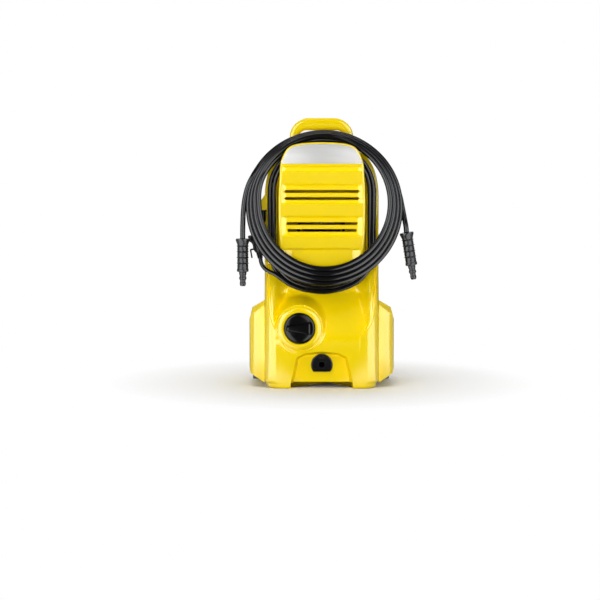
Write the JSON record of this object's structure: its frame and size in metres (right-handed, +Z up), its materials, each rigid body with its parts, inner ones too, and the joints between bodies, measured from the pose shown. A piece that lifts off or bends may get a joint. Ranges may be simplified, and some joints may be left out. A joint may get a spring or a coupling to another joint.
{
  "type": "pressure washer",
  "caption": "Compact upright pressure washer with a top handle, round hose coil, wound mains cable, rotary switch and arched outlet bay.",
  "frame": {"origin": "middle of the footprint, on the surface that the washer stands on", "axes": "+Z up, the outlet and the switch face -Y, +X to the right seen from the front"},
  "size_m": [0.349, 0.2786, 0.52],
  "materials": {
    "yellow_shell": "satin moulded plastic with a faint grain",
    "label_sheet": "thin brushed sheet, bare",
    "black_plastic": "satin moulded plastic",
    "grey_rubber": "matt",
    "zinc_screw": "zinc plated",
    "black_knob": "polished",
    "ground_steel": "ground",
    "grey_plastic": "matt glass-filled plastic",
    "white_plastic": "matt",
    "pump_alloy": "die cast",
    "gear_plastic": "matt wear-resistant plastic",
    "laminated_iron": "stacked sheets, lacquered",
    "copper_winding": "lacquered copper",
    "brass": "machined",
    "carbon": "pressed carbon",
    "black_hose": "semi-matt sheath",
    "pin_plate": "nickel plated"
  },
  "bodies": {
    "housing": {"rear_shell": "yellow_shell", "front_shell": "yellow_shell", "cable_neck": "yellow_shell", "grille_panel": "yellow_shell", "panel_label": "label_sheet", "left_side_cover": "yellow_shell", "right_side_cover": "yellow_shell", "base_plate": "black_plastic", "rear_feet": "grey_rubber", "carrying_handle": "yellow_shell", "housing_screws": "zinc_screw", "switch_box": "grey_plastic", "outlet_port": "black_plastic", "outlet_socket": "black_plastic", "outlet_pipe": "ground_steel", "inlet_nipple": "black_plastic", "inlet_filter": "white_plastic", "inlet_pipe": "grey_plastic", "cylinder_head": "pump_alloy", "pump_housing": "pump_alloy", "pump_seals": "grey_rubber", "piston_spring_1": "ground_steel", "piston_spring_2": "ground_steel", "piston_spring_3": "ground_steel", "spindle_bearing": "ground_steel", "gearbox_plate": "grey_plastic", "gearbox_housing": "grey_plastic", "motor_bearings": "ground_steel", "stator_core": "laminated_iron", "field_coils": "copper_winding", "motor_frame": "grey_plastic", "brush_holders": "brass", "carbon_brushes": "carbon", "pressure_switch": "black_plastic", "cable_gland": "black_plastic", "cable_lead": "black_hose", "cable_tail": "black_hose", "cable_winding": "black_hose", "mains_plug": "black_plastic", "plug_pins": "pin_plate", "hose_coil": "black_hose", "hose_tail_left": "black_hose", "hose_tail_right": "black_hose", "left_connector": "black_plastic", "right_connector": "black_plastic"},
    "knob": {"power_knob": "black_knob", "knob_shaft": "ground_steel"},
    "latch": {"outlet_latch": "grey_plastic"},
    "rotor": {"rotor_core": "laminated_iron", "motor_shaft": "ground_steel", "commutator": "copper_winding", "cooling_fan": "black_plastic", "drive_pinion": "ground_steel"},
    "pump_drive": {"swash_plate": "ground_steel", "pump_spindle": "ground_steel", "drive_gear": "gear_plastic"},
    "piston_a": {"piston_1": "ground_steel"},
    "piston_b": {"piston_2": "ground_steel"},
    "piston_c": {"piston_3": "ground_steel"},
    "plunger": {"pressure_plunger": "ground_steel"}
  },
  "joints": [
    {"name": "knob_turn", "type": "hinge", "parent": "housing", "child": "knob", "pos_m": [-0.0427, -0.105, 0.117], "axis": [0, 1, 0], "range_deg": [0, 90]},
    {"name": "latch_press", "type": "slide", "parent": "housing", "child": "latch", "axis": [0, 0, -1], "range_m": [0, 0.0025], "stiffness_N_per_m": 400},
    {"name": "rotor_spin", "type": "hinge", "parent": "housing", "child": "rotor", "pos_m": [0, 0.054, 0.2], "axis": [0, 0, 1], "continuous": true},
    {"name": "pump_drive_spin", "type": "hinge", "parent": "housing", "child": "pump_drive", "pos_m": [0, 0.018, 0.15], "axis": [0, 0, 1], "continuous": true},
    {"name": "plunger_push", "type": "slide", "parent": "housing", "child": "plunger", "axis": [1, 0, 0], "range_m": [0, 0.002], "stiffness_N_per_m": 500},
    {"name": "piston_a_stroke", "type": "slide", "parent": "housing", "child": "piston_a", "axis": [0, 0, -1], "range_m": [0, 0.003], "stiffness_N_per_m": 900, "deforming": ["piston_spring_1"]},
    {"name": "piston_b_stroke", "type": "slide", "parent": "housing", "child": "piston_b", "axis": [0, 0, -1], "range_m": [0, 0.003], "stiffness_N_per_m": 900, "deforming": ["piston_spring_2"]},
    {"name": "piston_c_stroke", "type": "slide", "parent": "housing", "child": "piston_c", "axis": [0, 0, -1], "range_m": [0, 0.003], "stiffness_N_per_m": 900, "deforming": ["piston_spring_3"]}
  ],
  "couplings": [
    {"joint": "pump_drive_spin", "follows": "rotor_spin", "ratio": -0.33333}
  ]
}
